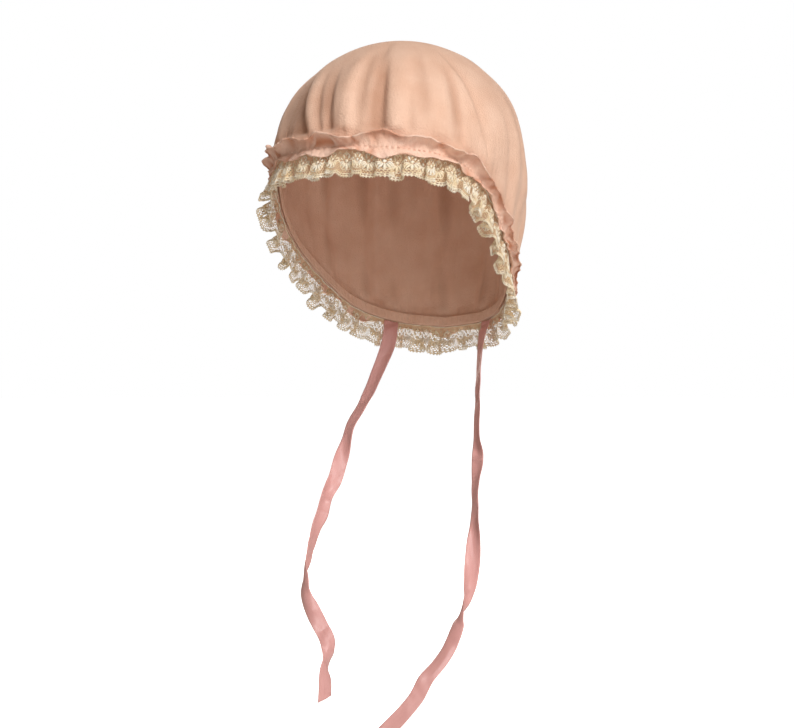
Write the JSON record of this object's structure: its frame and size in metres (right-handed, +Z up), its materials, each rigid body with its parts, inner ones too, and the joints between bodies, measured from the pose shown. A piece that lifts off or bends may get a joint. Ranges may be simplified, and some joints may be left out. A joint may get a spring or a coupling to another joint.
{
  "type": "gathered boudoir cap with a lace frill",
  "caption": "Soft gathered cap with a puffed heading, a pleated lace frill round its opening and ribbon ties hanging from the nape.",
  "frame": {"origin": "inside top of the crown, where the cap sits on the head", "axes": "+Z up, the wearer looks along -Y, +X is the wearer's left"},
  "size_m": [0.1633, 0.1928, 0.4465],
  "materials": {
    "crepe": "fine matt peach-pink crepe, slightly crinkled",
    "lace": "cream cotton lace with raised cord, matt",
    "ribbon": "dusty pink satin ribbon with a soft gloss"
  },
  "bodies": {
    "root": {"crown": "crepe", "casing": "crepe", "heading_frill": "crepe", "lace_frill": "lace", "tie_left": "ribbon", "tie_right": "ribbon"}
  },
  "joints": []
}
